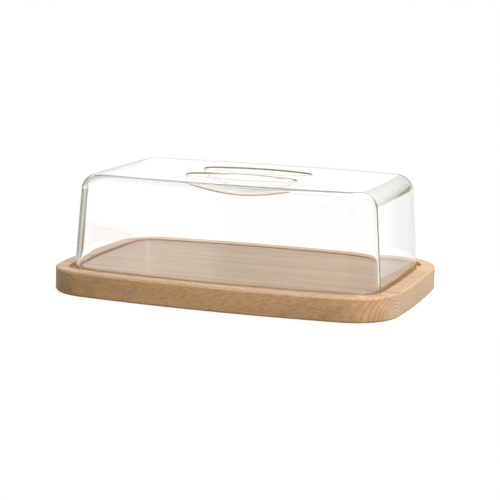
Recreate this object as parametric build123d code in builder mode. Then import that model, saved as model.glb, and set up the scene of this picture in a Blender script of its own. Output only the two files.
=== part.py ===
"""A cheese box: a clear moulded lid whose rim stands in the groove of a board glued up from beech staves.

Frame: the origin is the centre of the board's underside, +X runs along the board's length, the front
faces -Y and +Z is up. Every size is in millimetres and every angle in degrees.
"""
import os

from build123d import *

os.makedirs("parts", exist_ok=True)

# The board, seen from above: a rectangle with bowed sides and wide round corners
board_length = 300.0
board_width = 205.0
board_height = 20.0
corner_radius = 41.0
end_bow = 4.8
side_bow = 10.5
edge_roundover = 1.8

# The staves the board is glued up from, side by side, from the front to the rear
stave_names = ["front_stave", "front_middle_stave", "middle_stave", "rear_middle_stave", "rear_stave"]

# The groove round the board's top, from the board's edge inwards, bowed less than the board
groove_inset = 13.4
groove_width = 7.9
groove_depth = 3.2
groove_corner_radius = 20.0
groove_roundover = 0.6
rim_end_bow = 2.6
rim_side_bow = 9.5

# The lid: one drafted shell, open below, whose rim stands midway in the groove
wall = 3.3
top_thickness = 1.4
draft_angle = 4.6
lid_height = 80.6
lid_corner_radius = 26.3
lid_edge_radius = 14.2
rim_roundover = 0.7

# The two finger wells in the lid's top, one on each side of the grip that is left between them
grip_width = 8.0
well_length = 95.0
well_width = 33.2
well_depth = 18.0
well_end_radius = 10.0
well_mouth_roundover = 0.8

# Where the lid's rim stands in the groove
rim_plane = board_height - groove_depth
lid_top = rim_plane + lid_height
rim_inset = groove_inset + (groove_width - wall) / 2

# A well is round across, about an axis this far above the lid's top
well_axis_height = ((well_width / 2) ** 2 - well_depth**2) / (2 * well_depth)


def bowed_outline(inset, radius, across_ends, across_sides):
    """Four sides, bowed by the last two sizes and inset from the board's, that meet in round corners."""
    side_x = board_length / 2 - inset - across_ends
    side_y = board_width / 2 - inset - across_sides
    with BuildSketch() as outline:
        with BuildLine():
            SagittaArc((side_x, -side_y), (side_x, side_y), -across_ends)
            SagittaArc((side_x, side_y), (-side_x, side_y), -across_sides)
            SagittaArc((-side_x, side_y), (-side_x, -side_y), -across_ends)
            SagittaArc((-side_x, -side_y), (side_x, -side_y), -across_sides)
        make_face()
        fillet(outline.vertices(), radius)
    return outline.sketch


def drafted_form(inner_by, top):
    """The lid's form, smaller all round by inner_by, drawn up from the rim with draft, its top edge rounded."""
    with BuildPart() as form:
        with BuildSketch(Plane.XY.offset(rim_plane)):
            add(bowed_outline(rim_inset + inner_by, lid_corner_radius - inner_by, rim_end_bow, rim_side_bow))
        extrude(amount=top - rim_plane, taper=draft_angle)
        fillet(form.faces().sort_by(Axis.Z)[-1].edges(), lid_edge_radius - inner_by)
    return form.part


def well_form(growth):
    """One finger well as a solid: an oval turned about its own length, larger all round by growth."""
    half_length = well_length / 2 + growth
    half_height = well_depth + well_axis_height + growth
    end_radius = well_end_radius + growth
    end_centre = half_length - end_radius
    side_radius = (end_centre**2 + half_height**2 - end_radius**2) / (2 * (half_height - end_radius))
    join_share = end_radius / (side_radius - end_radius)
    join_x = end_centre + end_centre * join_share
    join_z = (side_radius - half_height) * join_share
    with BuildPart() as form:
        with BuildSketch(Plane.XZ):
            with BuildLine():
                ThreePointArc((join_x, -join_z), (half_length, 0), (join_x, join_z))
                ThreePointArc((join_x, join_z), (0, half_height), (-join_x, join_z))
                ThreePointArc((-join_x, join_z), (-half_length, 0), (-join_x, -join_z))
                ThreePointArc((-join_x, -join_z), (0, -half_height), (join_x, -join_z))
            make_face()
            Rectangle(2 * half_length, half_height, align=(Align.CENTER, Align.MAX), mode=Mode.INTERSECT)
        revolve(axis=Axis.X)
    return form.part


def both_wells(growth):
    """The front and the rear finger well in their places, each larger all round by growth."""
    well_y = (grip_width + well_width) / 2
    well_axis = lid_top + well_axis_height
    with BuildPart() as wells:
        with Locations((0, -well_y, well_axis), (0, well_y, well_axis)):
            add(well_form(growth))
    return wells.part


def board_form():
    """The whole board with its groove and rounded edges, before it is parted into staves."""
    with BuildPart() as form:
        with BuildSketch():
            add(bowed_outline(0, corner_radius, end_bow, side_bow))
        extrude(amount=board_height)
        fillet(form.faces().filter_by(Axis.Z).edges(), edge_roundover)
        with BuildSketch(Plane.XY.offset(board_height)):
            for inset, mode in ((groove_inset, Mode.ADD), (groove_inset + groove_width, Mode.SUBTRACT)):
                add(bowed_outline(inset, groove_corner_radius, rim_end_bow, rim_side_bow), mode=mode)
        extrude(amount=-groove_depth, mode=Mode.SUBTRACT)
        border, panel = form.faces().filter_by(Axis.Z).group_by(Axis.Z)[-1].sort_by(SortBy.AREA)
        fillet(border.inner_wires().edges() + panel.edges(), groove_roundover)
    return form.part


def lid_hollow():
    """The space under the lid: its inner form, less the wells' undersides that hang into it."""
    with BuildPart() as hollow:
        add(drafted_form(wall, lid_top - top_thickness))
        add(both_wells(top_thickness), mode=Mode.SUBTRACT)
    return hollow.part


# The lid: a shell moulded in one piece, with the wells let into its top and its rim rounded
with BuildPart() as lid:
    add(drafted_form(0, lid_top))
    add(both_wells(0), mode=Mode.SUBTRACT)
    top_face = lid.faces().filter_by(Axis.Z).sort_by(Axis.Z)[-1]
    fillet(top_face.inner_wires().edges(), well_mouth_roundover)
    add(lid_hollow(), mode=Mode.SUBTRACT)
    foot_face = lid.faces().filter_by(Axis.Z).sort_by(Axis.Z)[0]
    fillet(foot_face.edges(), rim_roundover)
lid.part.label = "lid"
export_step(lid.part, "parts/lid.step")

# The staves: equal widths of the board, glued edge to edge
stave_width = board_width / len(stave_names)
whole_board = board_form()
for position, stave_name in enumerate(stave_names):
    stave_front = position * stave_width - board_width / 2
    with BuildPart() as stave:
        add(whole_board)
        with Locations((0, stave_front, 0)):
            stave_place = (Align.CENTER, Align.MIN, Align.MIN)
            Box(board_length, stave_width, board_height, align=stave_place, mode=Mode.INTERSECT)
    stave.part.label = stave_name
    export_step(stave.part, f"parts/{stave_name}.step")
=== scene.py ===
import math

import bmesh
import bpy
from mathutils import Matrix, Vector


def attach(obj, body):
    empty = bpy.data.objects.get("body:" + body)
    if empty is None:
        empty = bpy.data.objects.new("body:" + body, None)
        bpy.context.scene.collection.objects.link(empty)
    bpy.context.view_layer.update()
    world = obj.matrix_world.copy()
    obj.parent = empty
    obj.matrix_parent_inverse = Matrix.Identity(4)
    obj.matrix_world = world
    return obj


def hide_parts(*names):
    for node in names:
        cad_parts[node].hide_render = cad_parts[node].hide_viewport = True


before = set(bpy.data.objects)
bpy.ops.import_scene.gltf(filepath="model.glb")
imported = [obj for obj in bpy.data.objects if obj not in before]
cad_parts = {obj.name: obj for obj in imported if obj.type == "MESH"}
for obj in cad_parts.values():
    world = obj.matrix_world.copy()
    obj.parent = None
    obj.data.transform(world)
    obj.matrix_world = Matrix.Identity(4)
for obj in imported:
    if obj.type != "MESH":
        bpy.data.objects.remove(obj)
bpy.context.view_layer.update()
scene = bpy.context.scene


# The staves: five widths of beech, planed, glued edge to edge and then rounded and routed as one board.
# Each was sawn from its own place in the log, so its growth rings turn about a pith of its own. The
# board is oiled, which leaves a soft sheen on it.

early_wood = (0.600, 0.368, 0.170)
late_wood = (0.400, 0.210, 0.088)
fleck_brown = (0.215, 0.105, 0.042)
# End grain colours, painted paler and greyer than the wood as a painted sheen on the board's ends
early_end_grain_painted_sheen = (0.640, 0.480, 0.335, 1.0)
late_end_grain_painted_sheen = (0.430, 0.285, 0.180, 1.0)
# The groove's colour, painted paler and warmer than the wood as painted light
groove_painted_light = (0.68, 0.44, 0.235, 1.0)

# How dark a growth ring is from the start of a year to its end
ring_stops = [
    (0.0, (0.55, 0.55, 0.55)),
    (0.15, (0.0, 0.0, 0.0)),
    (0.62, (0.18, 0.18, 0.18)),
    (1.0, (1.0, 1.0, 1.0)),
]
# The rings show clearly up to the first distance from the pith and faintly past the second
ring_fades = (0.024, 0.036)
# How far the rings stray from true circles
ring_wander = 0.006

# A ray fleck along the stem, outwards from the pith, and round it at the given distance from the pith
fleck_length = 0.0058
fleck_depth = 0.0070
fleck_thickness = 0.0006
fleck_distance = 0.040

# The groove lies inside a rounded oblong of these half sizes and below this height
groove_half_length = 0.143
groove_half_width = 0.0955
groove_edge_height = 0.0197


class ShaderTree:
    """A shader tree and the calls that fill it. What they take are values or other nodes' outputs."""

    def __init__(self, tree):
        self.tree = tree

    def fill(self, node, inputs):
        """Set or link the node's inputs, which go by name or by number."""
        for key, value in inputs.items():
            if isinstance(value, bpy.types.NodeSocket):
                self.tree.links.new(value, node.inputs[key])
            else:
                node.inputs[key].default_value = value

    def add(self, kind, inputs=None, operation=None):
        """Add a node with these inputs, and its operation where it has one."""
        node = self.tree.nodes.new(kind)
        if operation:
            node.operation = operation
        self.fill(node, inputs or {})
        return node

    def calc(self, operation, *values):
        """The result of a Math node."""
        return self.add("ShaderNodeMath", dict(enumerate(values)), operation).outputs[0]

    def grade(self, value, low, high, at_low=0.0, at_high=1.0):
        """A number that goes from at_low to at_high as the value goes from low to high."""
        return self.add("ShaderNodeMapRange", {
            "Value": value, "From Min": low, "From Max": high, "To Min": at_low, "To Max": at_high,
        }).outputs["Result"]

    def mix(self, share, first, second, blend="MIX"):
        """The first colour with a share of the second."""
        node = self.add("ShaderNodeMix")
        node.data_type = "RGBA"
        node.blend_type = blend
        self.fill(node, {"Factor": share, "A": first, "B": second})
        return node.outputs["Result"]

    def ramp(self, value, stops):
        """Colours along the value, from 0 to 1. stops holds (place, colour)."""
        node = self.add("ShaderNodeValToRGB", {"Fac": value})
        elements = node.color_ramp.elements
        elements.remove(elements[1])
        for number, (place, colour) in enumerate(stops):
            element = elements[0] if number == 0 else elements.new(place)
            element.position = place
            element.color = (*colour, 1.0)
        return node.outputs["Color"]

    def drawn_noise(self, place, pace, detail, start=(0.0, 0.0, 0.0)):
        """Noise drawn out along the grain. pace is how many patches a metre holds along each axis."""
        drawn = self.add("ShaderNodeMapping", {"Vector": place, "Location": start, "Scale": pace})
        return self.add("ShaderNodeTexNoise", {
            "Vector": drawn.outputs["Vector"], "Scale": 1.0, "Detail": detail,
        })


def new_material(name):
    """A material with its shader, and its tree to fill."""
    material = bpy.data.materials.new(name)
    material.use_nodes = True
    material.node_tree.nodes.clear()
    tree = ShaderTree(material.node_tree)
    shader = tree.add("ShaderNodeBsdfPrincipled")
    tree.add("ShaderNodeOutputMaterial", {"Surface": shader.outputs["BSDF"]})
    return material, shader, tree


def beech(name, pith_y, pith_z, ring_width, tone, seed):
    """Oiled beech. pith_y and pith_z place the middle of its growth rings, in metres."""
    material, shader, wood = new_material(name)
    place = wood.add("ShaderNodeTexCoord").outputs["Object"]

    def toned(colour):
        return (*(part * tone for part in colour), 1.0)

    # The stem was not quite straight or round
    wander = wood.drawn_noise(place, (4.0, 22.0, 22.0), 2.0, (seed, seed * 0.7, seed * 1.3))
    centred = wood.add("ShaderNodeVectorMath", {0: wander.outputs["Color"], 1: (0.5, 0.5, 0.5)}, "SUBTRACT")
    bent = wood.add("ShaderNodeVectorMath", {
        0: centred.outputs[0], 1: (0.0, ring_wander, ring_wander), 2: place,
    }, "MULTIPLY_ADD").outputs[0]
    split = wood.add("ShaderNodeSeparateXYZ", {0: bent})
    along = split.outputs["X"]
    across = wood.calc("SUBTRACT", split.outputs["Y"], pith_y)
    height = wood.calc("SUBTRACT", split.outputs["Z"], pith_z)
    squares = wood.calc("ADD", wood.calc("MULTIPLY", across, across), wood.calc("MULTIPLY", height, height))
    radius = wood.calc("SQRT", squares)
    bearing = wood.calc("ARCTAN2", height, across)

    # Growth rings: each year darkens slowly towards its late wood and then starts pale again
    year = wood.calc("FRACT", wood.calc("DIVIDE", radius, ring_width))
    ring = wood.ramp(year, ring_stops)

    # Rays: thin sheets that stand out from the pith, short dark dashes where a face cuts across them
    ray_place = wood.add("ShaderNodeCombineXYZ", {
        "X": wood.calc("MULTIPLY", along, 1 / fleck_length),
        "Y": wood.calc("MULTIPLY", radius, 1 / fleck_depth),
        "Z": wood.calc("MULTIPLY", bearing, fleck_distance / fleck_thickness),
    })
    ray = wood.add("ShaderNodeTexVoronoi", {
        "Vector": ray_place.outputs[0], "Scale": 1.0, "Randomness": 1.0,
    })
    fleck = wood.grade(ray.outputs["Distance"], 0.55, 0.15)

    # Fibres and the slow change of colour from one side of the stave to the other
    fibre = wood.drawn_noise(bent, (60.0, 1500.0, 1500.0), 3.0).outputs["Fac"]
    streak = wood.drawn_noise(bent, (6.0, 90.0, 90.0), 4.0, (seed, 0.0, 0.0)).outputs["Fac"]

    # Colour: pale early wood, browner late wood, darker streaks, dark flecks
    ring_strength = wood.grade(radius, *ring_fades, at_low=0.85, at_high=0.15)
    ringed = wood.mix(wood.calc("MULTIPLY", ring, ring_strength), toned(early_wood), toned(late_wood))
    streak_shade = wood.grade(streak, 0.3, 0.7, at_low=0.80, at_high=1.12)
    streaked = wood.mix(1.0, ringed, streak_shade, "MULTIPLY")
    flecked = wood.mix(wood.calc("MULTIPLY", fleck, 0.5), streaked, toned(fleck_brown))

    # The board's ends are painted paler and greyer, a painted sheen for the glare on the end grain; its
    # rings still show in it
    facing = wood.add("ShaderNodeSeparateXYZ", {0: wood.add("ShaderNodeNewGeometry").outputs["Normal"]})
    end_sheen_share = wood.grade(wood.calc("ABSOLUTE", facing.outputs["X"]), 0.80, 0.98, at_high=0.60)
    with_end_sheen = wood.mix(end_sheen_share, flecked, wood.mix(ring, early_end_grain_painted_sheen, late_end_grain_painted_sheen))

    # The groove is painted paler and warmer, painted light that brightens it: below the top, inside a
    # rounded oblong
    spot = wood.add("ShaderNodeSeparateXYZ", {0: place})
    lengthways = wood.calc("DIVIDE", wood.calc("ABSOLUTE", spot.outputs["X"]), groove_half_length)
    sideways = wood.calc("DIVIDE", wood.calc("ABSOLUTE", spot.outputs["Y"]), groove_half_width)
    off_centre = wood.calc("ADD", wood.calc("POWER", lengthways, 6.0), wood.calc("POWER", sideways, 6.0))
    within = wood.calc("LESS_THAN", off_centre, 1.0)
    below = wood.calc("LESS_THAN", spot.outputs["Z"], groove_edge_height)
    with_groove_light = wood.mix(wood.calc("MULTIPLY", within, below), with_end_sheen, groove_painted_light)

    # The surface: sanded smooth, with the fibres and flecks just felt under the oil
    relief = wood.calc("ADD", fibre, wood.calc("MULTIPLY", fleck, -0.6))
    bump = wood.add("ShaderNodeBump", {"Strength": 0.25, "Distance": 0.0001, "Height": relief})
    wood.fill(shader, {
        "Base Color": with_groove_light,
        "Roughness": wood.grade(fibre, 0.0, 1.0, at_low=0.28, at_high=0.42),
        "Normal": bump.outputs["Normal"],
        "IOR": 1.5,
        "Coat Weight": 0.3,
        "Coat Roughness": 0.2,
    })
    return material


# Where a stave's pith lay across the board and above the table, how wide its rings are, its tone
# beside the others, and the seed that sets its wander and streaks apart from theirs
stave_woods = {
    "front": (-0.065, 0.001, 0.0030, 1.04, 1.7),
    "front_middle": (-0.061, -0.004, 0.0032, 1.0, 5.1),
    "middle": (-0.007, -0.006, 0.0028, 1.02, 9.4),
    "rear_middle": (0.060, -0.030, 0.0026, 1.0, 13.8),
    "rear": (0.070, 0.045, 0.0023, 1.03, 17.2),
}
for stave_place, stave_wood in stave_woods.items():
    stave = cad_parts[stave_place + "_stave"]
    stave.material_slots[0].material = beech("beech_" + stave_place, *stave_wood)


# The lid: clear plastic, moulded in one piece with draft all round. Its rim stands in the groove, its top
# edge is a wide round, and two finger wells sunk in its top leave a waisted grip between them. Its wall
# is one section drawn along the bowed outline, and its top is closed round the mouths of the wells.

# Sizes in metres, the same as in the source. flat_margin is the plain wall drawn beside each arc
foot_height = 0.0168
lid_top = 0.0974
lid_wall = 0.0033
top_thickness = 0.0014
half_length = 0.1343
half_width = 0.0868
end_bow = 0.0026
side_bow = 0.0095
corner_radius = 0.0263
draft = math.radians(4.6)
edge_radius = 0.0142
rim_roundover = 0.0007
mouth_roundover = 0.0008
flat_margin = 0.0004

# How finely the outline, the arcs of the wall's section and the wells are drawn
outline_points = 800
edge_steps = 30
inner_edge_steps = 22
rim_steps = 6
mouth_points = 192
mouth_steps = 6
well_steps = 30
under_well_steps = 24

# Faces that turn from each other by more than this meet in a sharp edge
sharp_turn = math.radians(25)


def clear_plastic():
    """The lid's clear plastic, with faint moulding waves and wiped haze."""
    material, shader, clear = new_material("clear_plastic")
    place = clear.add("ShaderNodeTexCoord").outputs["Object"]
    haze = clear.add("ShaderNodeTexNoise", {"Vector": place, "Scale": 35.0, "Detail": 5.0})
    wave = clear.add("ShaderNodeTexNoise", {"Vector": place, "Scale": 14.0, "Detail": 1.0})
    bump = clear.add("ShaderNodeBump", {
        "Strength": 0.3, "Distance": 0.0002, "Height": wave.outputs["Fac"],
    })
    # The renderer cuts off light that is guided far inside the plastic and draws it black. From the
    # fourth reflection on, a faint light of the plastic's own, tinted by the wood, stands in for it
    guided = clear.calc("GREATER_THAN", clear.add("ShaderNodeLightPath").outputs["Glossy Depth"], 3.5)
    clear.fill(shader, {
        "Base Color": (1.0, 1.0, 1.0, 1.0),
        "Transmission Weight": 1.0,
        "IOR": 1.49,
        "Roughness": clear.grade(haze.outputs["Fac"], 0.45, 0.75, at_low=0.0, at_high=0.05),
        "Normal": bump.outputs["Normal"],
        "Emission Color": (0.125, 0.108, 0.040, 1.0),
        "Emission Strength": guided,
    })
    return material


def bowed_points(count):
    """Even points along the lid's outline at its foot, counterclockwise: bowed sides and round corners."""
    side_radius = ((half_length - end_bow) ** 2 + side_bow**2) / (2 * side_bow)
    end_radius = ((half_width - side_bow) ** 2 + end_bow**2) / (2 * end_bow)
    side_centre = Vector((0.0, half_width - side_radius))
    end_centre = Vector((half_length - end_radius, 0.0))
    # The corner's centre lies where circles about the two other centres cross
    to_side = side_radius - corner_radius
    to_end = end_radius - corner_radius
    apart = side_centre - end_centre
    share = (to_end**2 - to_side**2 + apart.length_squared) / (2 * apart.length)
    aside = math.sqrt(to_end**2 - share**2)
    way = apart.normalized()
    corner_centre = end_centre + way * share + Vector((-way.y, way.x)) * aside
    on_end = end_centre + (corner_centre - end_centre).normalized() * end_radius
    on_side = side_centre + (corner_centre - side_centre).normalized() * side_radius

    quarter = []
    for centre, start, end in (
        (end_centre, Vector((half_length, 0.0)), on_end),
        (corner_centre, on_end, on_side),
        (side_centre, on_side, Vector((0.0, half_width))),
    ):
        first = start - centre
        last = end - centre
        turn = math.atan2(first.x * last.y - first.y * last.x, first.dot(last))
        quarter.append((centre, first, turn, abs(turn) * first.length))
    whole = sum(piece[3] for piece in quarter)
    corner = []
    for number in range(count // 4):
        gone = whole * number / (count // 4)
        for centre, first, turn, length in quarter:
            if gone <= length:
                break
            gone -= length
        corner.append(centre + Matrix.Rotation(turn * gone / length, 2) @ first)
    top_right = [(p.x, p.y) for p in corner]
    first_left = [(-x, y) for x, y in [(0.0, half_width)] + top_right[:0:-1]]
    upper = top_right + first_left
    return upper + [(-x, -y) for x, y in upper]


def rounded_path(corners):
    """Points round the arcs that join straight lines. corners holds (across, height, radius, steps); the
    first and the last only give a direction. A point on the line beside each end of an arc keeps the
    plain surface between the arcs flat to the light."""
    points = []
    for before, corner, after in zip(corners, corners[1:], corners[2:]):
        across, height, radius, steps = corner
        here = Vector((across, height))
        back_way = (Vector(before[:2]) - here).normalized()
        on_way = (Vector(after[:2]) - here).normalized()
        half_angle = back_way.angle(on_way) / 2
        reach = radius / math.tan(half_angle)
        centre = here + (back_way + on_way).normalized() * radius / math.sin(half_angle)
        start = here + back_way * reach - centre
        turn = start.angle_signed(here + on_way * reach - centre)
        points.append(here + back_way * (reach + flat_margin))
        for step in range(steps + 1):
            points.append(centre + Matrix.Rotation(-turn * step / steps, 2) @ start)
        points.append(here + on_way * (reach + flat_margin))
    return points


def poly_curve(name, points, closed):
    """A curve object through the points, for a tree to take."""
    curve = bpy.data.curves.new(name, "CURVE")
    curve.dimensions = "3D"
    spline = curve.splines.new("POLY")
    spline.points.add(len(points) - 1)
    for point, (x, y, z) in zip(spline.points, points):
        point.co = (x, y, z, 1.0)
    spline.use_cyclic_u = closed
    curve_object = bpy.data.objects.new(name, curve)
    scene.collection.objects.link(curve_object)
    return curve_object


def section_along_rail():
    """A Geometry Nodes tree that draws the section along the rail, upright all the way."""
    tree = bpy.data.node_groups.new("section_along_rail", "GeometryNodeTree")
    for name, kind in (("Rail", "Object"), ("Section", "Object"), ("Material", "Material")):
        tree.interface.new_socket(name=name, in_out="INPUT", socket_type="NodeSocket" + kind)
    tree.interface.new_socket(name="Geometry", in_out="OUTPUT", socket_type="NodeSocketGeometry")
    given = tree.nodes.new("NodeGroupInput")
    rail = tree.nodes.new("GeometryNodeObjectInfo")
    section = tree.nodes.new("GeometryNodeObjectInfo")
    upright = tree.nodes.new("GeometryNodeSetCurveNormal")
    upright.mode = "Z_UP"
    sweep = tree.nodes.new("GeometryNodeCurveToMesh")
    smooth = tree.nodes.new("GeometryNodeSetShadeSmooth")
    real = tree.nodes.new("GeometryNodeRealizeInstances")
    painted = tree.nodes.new("GeometryNodeSetMaterial")
    made = tree.nodes.new("NodeGroupOutput")
    for start, end in (
        (given.outputs["Rail"], rail.inputs["Object"]),
        (given.outputs["Section"], section.inputs["Object"]),
        (rail.outputs["Geometry"], upright.inputs["Curve"]),
        (upright.outputs["Curve"], sweep.inputs["Curve"]),
        (section.outputs["Geometry"], sweep.inputs["Profile Curve"]),
        (sweep.outputs["Mesh"], smooth.inputs["Geometry"]),
        (smooth.outputs["Geometry"], real.inputs["Geometry"]),
        (real.outputs["Geometry"], painted.inputs["Geometry"]),
        (given.outputs["Material"], painted.inputs["Material"]),
        (painted.outputs["Geometry"], made.inputs["Geometry"]),
    ):
        tree.links.new(start, end)
    return tree


def made_by_tree(name, tree, values):
    """The plain mesh that a tree makes from the named values."""
    carrier = bpy.data.objects.new(name, bpy.data.meshes.new(name))
    scene.collection.objects.link(carrier)
    modifier = carrier.modifiers.new(name, "NODES")
    modifier.node_group = tree
    for socket in tree.interface.items_tree:
        if socket.in_out == "INPUT":
            modifier[socket.identifier] = values[socket.name]
    seen = bpy.context.evaluated_depsgraph_get()
    mesh = bpy.data.meshes.new_from_object(carrier.evaluated_get(seen))
    bpy.data.objects.remove(carrier)
    return mesh


# The two finger wells lie well_centre to either side of the lid's middle line. A well is round across,
# about an axis near the lid's top, with an oval line along its length. well_axis is how far that axis
# stands above the lid's top, and is below zero in a well as deep as this
well_centre = 0.0206
well_half_length = 0.0475
well_half_width = 0.0166
well_depth = 0.0180
well_end_radius = 0.0100
well_axis = (well_half_width**2 - well_depth**2) / (2 * well_depth)


def oval(x, growth):
    """The well's distance from its axis at x, larger by growth, and the slope of that distance."""
    reach = well_depth + well_axis + growth
    end = well_end_radius + growth
    end_centre = well_half_length - well_end_radius
    side = (end_centre**2 + reach**2 - end**2) / (2 * (reach - end))
    join = end_centre + end_centre * end / (side - end)
    if abs(x) <= join:
        up = math.sqrt(side**2 - x**2)
        return up - (side - reach), -x / up
    past = abs(x) - end_centre
    up = math.sqrt(max(end**2 - past**2, 1e-12))
    return up, -math.copysign(past / up, x)


def level_ring(growth, drop):
    """Points (x, y) round the well where its form, larger by growth, lies drop below its axis."""
    ring = []
    for number in range(mouth_points):
        angle = math.tau * (number + 0.5) / mouth_points
        across = well_half_length * math.cos(angle), well_half_width * math.sin(angle)
        # The form ends within 1.4 times the mouth's oval: halve that stretch until its end is found
        low, high = 0.0, 1.4
        for _ in range(48):
            middle = (low + high) / 2
            x, y = across[0] * middle, across[1] * middle
            inside = abs(x) < well_half_length + growth and y**2 + drop**2 < oval(x, growth)[0] ** 2
            low, high = (middle, high) if inside else (low, middle)
        ring.append((across[0] * low, across[1] * low))
    return ring


def rounded_mouth():
    """Rings that round the mouth over, from the lid's top to where the well's own form begins."""
    level = well_axis + mouth_roundover
    rings = [[] for _ in range(mouth_steps + 1)]
    for x, y in level_ring(mouth_roundover, level):
        distance, slope = oval(x, mouth_roundover)
        inwards = -Vector((-distance * slope, y, -level)).normalized()
        centre = Vector((x, y, lid_top - mouth_roundover))
        for step in range(mouth_steps + 1):
            way = Vector((0.0, 0.0, 1.0)).slerp(inwards, step / mouth_steps)
            rings[step].append(centre + way * mouth_roundover)
    return rings


def sunk_rings(edge, growth, steps):
    """Rings that run from the edge ring down the well's form, larger by growth, to near its lowest point."""
    rings = []
    widest = max(abs(p.y) for p in edge)
    start = math.asin(min(1.0, widest / oval(0.0, growth)[0]))
    for step in range(1, steps):
        share = math.sin(start * (1 - step / steps)) / math.sin(start)
        ring = []
        for p in edge:
            x, y = p.x * share, p.y * share
            ring.append(Vector((x, y, lid_top + well_axis - math.sqrt(oval(x, growth)[0] ** 2 - y**2))))
        rings.append(ring)
    return rings


def add_rings(bm, rings, shift, floor):
    """Add the rings, moved by shift along Y, as faces, and close the last one on the floor point."""
    rows = [[bm.verts.new((p.x, p.y + shift, p.z)) for p in ring] for ring in rings]
    for upper, lower in zip(rows, rows[1:]):
        for number in range(len(upper)):
            after = (number + 1) % len(upper)
            bm.faces.new((upper[number], upper[after], lower[after], lower[number]))
    pole = bm.verts.new((0.0, shift, floor))
    last = rows[-1]
    for number in range(len(last)):
        bm.faces.new((last[number], last[(number + 1) % len(last)], pole))


def widened(ring, margin, height):
    """The ring, grown by margin in its plane, at the height."""
    grown = []
    for number, p in enumerate(ring):
        along = ring[(number + 1) % len(ring)] - ring[number - 1]
        out = Vector((along.y, -along.x, 0.0)).normalized()
        grown.append(Vector((p.x, p.y, height)) + out * margin)
    return grown


def fill_level(bm, height):
    """Close the lid's top or the top of its hollow: fill what its open edges at this height go round."""
    edges = [e for e in bm.edges if e.is_boundary and all(abs(v.co.z - height) < 1e-7 for v in e.verts)]
    bmesh.ops.triangle_fill(bm, use_beauty=True, use_dissolve=False, edges=edges)


# The wall leans in with the draft, by these distances up to the lid's top and to the top of its hollow
hollow_top = lid_top - top_thickness
lean = math.tan(draft)
outer_reach = (lid_top - foot_height) * lean
inner_reach = lid_wall + (hollow_top - foot_height) * lean
section_points = rounded_path([
    (half_width, lid_top, 0, 0),
    (outer_reach, lid_top, edge_radius, edge_steps),
    (0.0, foot_height, rim_roundover, rim_steps),
    (lid_wall, foot_height, rim_roundover, rim_steps),
    (inner_reach, hollow_top, edge_radius - lid_wall, inner_edge_steps),
    (half_width, hollow_top, 0, 0),
])
rail = poly_curve("lid_outline", [(x, y, 0.0) for x, y in bowed_points(outline_points)], True)
section = poly_curve("lid_section", [(-p.x, -p.y, 0.0) for p in section_points], False)
plastic = clear_plastic()
lid_mesh = made_by_tree("lid_wall", section_along_rail(), {
    "Rail": rail, "Section": section, "Material": plastic,
})
bpy.data.objects.remove(rail)
bpy.data.objects.remove(section)

# The wells hang in the top, each with the underside that the hollow shows
bm = bmesh.new()
bm.from_mesh(lid_mesh)
mouth_rings = rounded_mouth()
under_level = level_ring(top_thickness, well_axis + top_thickness)
under_edge = [Vector((x, y, hollow_top)) for x, y in under_level]
for shift in (-well_centre, well_centre):
    outside = [widened(mouth_rings[0], flat_margin, lid_top)] + mouth_rings
    outside += sunk_rings(mouth_rings[-1], 0.0, well_steps)
    add_rings(bm, outside, shift, lid_top - well_depth)
    inside = [widened(under_edge, flat_margin, hollow_top), under_edge]
    inside += sunk_rings(under_edge, top_thickness, under_well_steps)
    add_rings(bm, inside, shift, lid_top - well_depth - top_thickness)
fill_level(bm, lid_top)
fill_level(bm, hollow_top)
bmesh.ops.recalc_face_normals(bm, faces=bm.faces)
for face in bm.faces:
    face.smooth = True
for edge in bm.edges:
    edge.smooth = edge.is_manifold and edge.calc_face_angle(0.0) < sharp_turn
bm.to_mesh(lid_mesh)
bm.free()
lid_mesh.materials.clear()
lid_mesh.materials.append(plastic)
lid = bpy.data.objects.new("clear_lid", lid_mesh)
scene.collection.objects.link(lid)
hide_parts("lid")
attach(lid, "lid")


# The studio: a round white table in a white room. To the left behind the table is a dark bay with a grey
# wall beyond it, a grey rail runs behind, and the ceiling is dark to the rear and bright to the front,
# which draws the lid's edges. The table's white carries on in the room, so its rim is not seen.

table_radius = 0.25
table_corners = 96


def studio_table():
    """White to the eye, also through the lid. In reflections and under the lamps it is a matt grey."""
    material, shader, top = new_material("studio_table")
    path = top.add("ShaderNodeLightPath")
    seen = top.calc("MAXIMUM", path.outputs["Is Camera Ray"], path.outputs["Is Transmission Ray"])
    top.fill(shader, {
        "Base Color": (0.27, 0.27, 0.27, 1.0),
        "Roughness": 0.9,
        "Specular IOR Level": 0.0,
        "Emission Color": (1.0, 1.0, 1.0, 1.0),
        "Emission Strength": top.calc("MULTIPLY", seen, 0.74),
    })
    return material


table_rim = []
for number in range(table_corners):
    angle = math.tau * number / table_corners
    table_rim.append((table_radius * math.cos(angle), table_radius * math.sin(angle), 0.0))
table_mesh = bpy.data.meshes.new("table_top")
table_mesh.from_pydata(table_rim, [], [tuple(range(table_corners))])
table_mesh.materials.append(studio_table())
table = bpy.data.objects.new("table_top", table_mesh)
scene.collection.objects.link(table)

world = bpy.data.worlds.new("studio")
scene.world = world
world.use_nodes = True
world.node_tree.nodes.clear()
room = ShaderTree(world.node_tree)

# The way that a ray leaves by: its bearing round the room, and its rise
way = room.add("ShaderNodeSeparateXYZ", {0: room.add("ShaderNodeTexCoord").outputs["Generated"]}).outputs
rise = way["Z"]
bearing = room.calc("ARCTAN2", room.calc("MULTIPLY", way["X"], -1.0), way["Y"])
turn_share = room.calc("MULTIPLY_ADD", bearing, 1 / math.tau, 0.5)


def at(degrees):
    """The share of a whole turn for a bearing, counted from the rear towards the left."""
    return degrees / 360 + 0.5


def towards(x, y):
    """How far the ray's way goes along a level direction."""
    return room.calc("ADD", room.calc("MULTIPLY", way["X"], x), room.calc("MULTIPLY", way["Y"], y))


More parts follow.
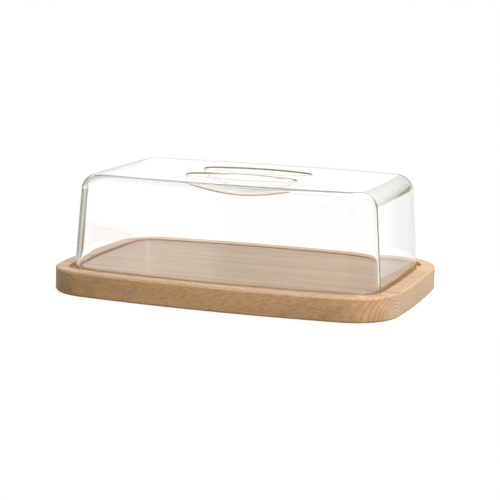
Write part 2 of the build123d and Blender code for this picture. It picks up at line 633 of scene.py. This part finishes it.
def share_past(value, start, pace):
    """0 before the start, and then up to 1 at this pace."""
    past = room.calc("MULTIPLY", room.calc("SUBTRACT", value, start), pace)
    return room.calc("MINIMUM", room.calc("MAXIMUM", past, 0.0), 1.0)


# What the oiled wood mirrors, and the lid mirrors and lets through: the colour of the walls, the colour
# of their upper part, and the rise at which that part begins
wall_colour = room.ramp(turn_share, [
    (0.0, (0.50, 0.50, 0.50)),
    (at(-120), (0.60, 0.60, 0.60)),
    (at(-50), (1.05, 1.05, 1.05)),
    (at(-21), (1.05, 1.05, 1.05)),
    (at(-16), (0.75, 0.75, 0.74)),
    (at(-10), (0.8, 0.8, 0.79)),
    (at(0), (0.93, 0.93, 0.92)),
    (at(5), (0.95, 0.95, 0.94)),
    (at(9), (1.06, 1.06, 1.06)),
    (at(32), (1.06, 1.06, 1.06)),
    (at(37), (0.14, 0.125, 0.07)),
    (at(51), (0.18, 0.165, 0.105)),
    (at(57), (0.56, 0.56, 0.48)),
    (at(72), (0.66, 0.66, 0.60)),
    (at(95), (0.80, 0.80, 0.78)),
    (at(120), (1.4, 1.4, 1.4)),
    (at(159), (1.4, 1.4, 1.4)),
    (at(161), (0.70, 0.70, 0.68)),
])
upper_colour = room.ramp(turn_share, [
    (0.0, (0.80, 0.80, 0.80)),
    (at(-40), (0.90, 0.90, 0.90)),
    (at(-10), (0.66, 0.67, 0.64)),
    (at(10), (0.60, 0.61, 0.58)),
    (at(30), (0.66, 0.66, 0.64)),
    (at(36), (1.0, 1.0, 1.0)),
    (at(150), (1.0, 1.0, 1.0)),
])
upper_start = room.ramp(turn_share, [
    (0.0, (0.2, 0.2, 0.2)),
    (at(-22), (0.2, 0.2, 0.2)),
    (at(-17), (0.0, 0.0, 0.0)),
    (at(8), (0.0, 0.0, 0.0)),
    (at(14), (0.2, 0.2, 0.2)),
    (at(31), (0.2, 0.2, 0.2)),
    (at(36), (0.09, 0.09, 0.09)),
])

# The grey rail stands behind, from a little below the horizon to a little above it
rail_foot = -0.11
rail_top = 0.125
rail_softness = 20.0
over_foot = room.calc("MULTIPLY", room.calc("SUBTRACT", rise, rail_foot), rail_softness)
under_top = room.calc("MULTIPLY", room.calc("SUBTRACT", rail_top, rise), rail_softness)
rail_height = room.calc("MINIMUM", room.calc("MINIMUM", over_foot, under_top), 1.0)
rail_width = room.ramp(turn_share, [
    (at(-14), (0.0, 0.0, 0.0)),
    (at(-4), (1.0, 1.0, 1.0)),
    (at(20), (1.0, 1.0, 1.0)),
    (at(24), (0.0, 0.0, 0.0)),
])
rail_share = room.calc("MULTIPLY", room.calc("MAXIMUM", rail_height, 0.0), rail_width)
wall_and_rail = room.mix(rail_share, wall_colour, (0.56, 0.56, 0.52, 1.0))

# Low down the walls turn white, as the table is
low_share = share_past(room.calc("MULTIPLY", rise, -1.0), 0.20, 25.0)
wall_to_floor = room.mix(low_share, wall_and_rail, (1.0, 1.0, 1.0, 1.0))
whole_wall = room.mix(share_past(rise, upper_start, 10.0), wall_to_floor, upper_colour)

# The ceiling is dark to the rear of the table and one bright soft box to its front
front_share = room.grade(towards(0.334, -0.943), -0.10, 0.50)
ceiling = room.mix(front_share, (0.10, 0.10, 0.09, 1.0), (2.80, 2.82, 2.72, 1.0))
ceiling_share = room.grade(rise, math.sin(math.radians(22.0)), math.sin(math.radians(32.0)))
seen_colour = room.mix(ceiling_share, whole_wall, ceiling)
seen_room = room.add("ShaderNodeBackground", {"Color": seen_colour})

# The light that falls on matt surfaces: more from the rear right than from the front left
lit_share = room.calc("MULTIPLY_ADD", towards(0.82, 0.57), 0.5, 0.5)
low_light = room.ramp(lit_share, [
    (0.0, (0.02, 0.02, 0.015)),
    (0.2, (0.32, 0.31, 0.295)),
    (0.6, (0.49, 0.485, 0.465)),
    (1.0, (0.84, 0.83, 0.81)),
])
high_light = room.ramp(lit_share, [
    (0.15, (0.5, 0.49, 0.47)),
    (0.5, (2.0, 1.98, 1.93)),
    (0.8, (2.1, 2.09, 2.04)),
])
lit_colour = room.mix(room.grade(rise, 0.45, 0.75), low_light, high_light)
lit_room = room.add("ShaderNodeBackground", {"Color": lit_colour})

# The eye itself sees plain white round the table
white_room = room.add("ShaderNodeBackground", {"Color": (1.0, 1.0, 1.0, 1.0)})
path = room.add("ShaderNodeLightPath").outputs
clear_or_glossy = room.calc("MAXIMUM", path["Is Glossy Ray"], path["Is Transmission Ray"])
lit_or_seen = room.add("ShaderNodeMixShader", {
    "Fac": clear_or_glossy, 1: lit_room.outputs[0], 2: seen_room.outputs[0],
})
or_white = room.add("ShaderNodeMixShader", {
    "Fac": path["Is Camera Ray"], 1: lit_or_seen.outputs[0], 2: white_room.outputs[0],
})
room.add("ShaderNodeOutputWorld", {"Surface": or_white.outputs[0]})


def soft_lamp(name, place, aim, size, power, colour):
    """A square lamp at place that faces aim."""
    lamp = bpy.data.lights.new(name, "AREA")
    lamp.shape = "SQUARE"
    lamp.size = size
    lamp.energy = power
    lamp.color = colour
    holder = bpy.data.objects.new(name, lamp)
    holder.location = place
    holder.rotation_euler = (Vector(aim) - Vector(place)).to_track_quat("-Z", "Y").to_euler()
    scene.collection.objects.link(holder)


# One lamp hangs high behind the box, and a smaller one stands low to its front right
soft_lamp("over_rear", (0.3, 1.1, 1.7), (0.0, 0.0, 0.0), 1.6, 20.0, (1.0, 0.99, 0.97))
soft_lamp("front_right", (1.25, -0.75, 0.36), (0.05, -0.05, 0.02), 0.6, 9.5, (1.0, 0.98, 0.95))


# The camera: where the fit of the board's and the lid's outlines puts it, a long lens from the front
# right, a little above the lid.

camera_azimuth = math.radians(19.54)
camera_elevation = math.radians(10.46)
camera_roll = math.radians(1.23)
camera_distance = 1.564
camera_target = Vector((-0.0570, 0.1658, 0.0))
focal_length_px = 1635
picture_width_px = 500

back = Vector((
    math.sin(camera_azimuth) * math.cos(camera_elevation),
    -math.cos(camera_azimuth) * math.cos(camera_elevation),
    math.sin(camera_elevation),
))
right = Vector((math.cos(camera_azimuth), math.sin(camera_azimuth), 0.0))
up = back.cross(right)
rolled_right = math.cos(camera_roll) * right + math.sin(camera_roll) * up
rolled_up = math.cos(camera_roll) * up - math.sin(camera_roll) * right
camera_data = bpy.data.cameras.new("camera")
camera_data.sensor_width = 36.0
camera_data.lens = focal_length_px / picture_width_px * camera_data.sensor_width
camera_data.clip_end = 50.0
camera = bpy.data.objects.new("camera", camera_data)
scene.collection.objects.link(camera)
pose = Matrix((rolled_right, rolled_up, back)).transposed().to_4x4()
pose.translation = camera_target + back * camera_distance
camera.matrix_world = pose
scene.camera = camera
scene.view_settings.view_transform = "Standard"
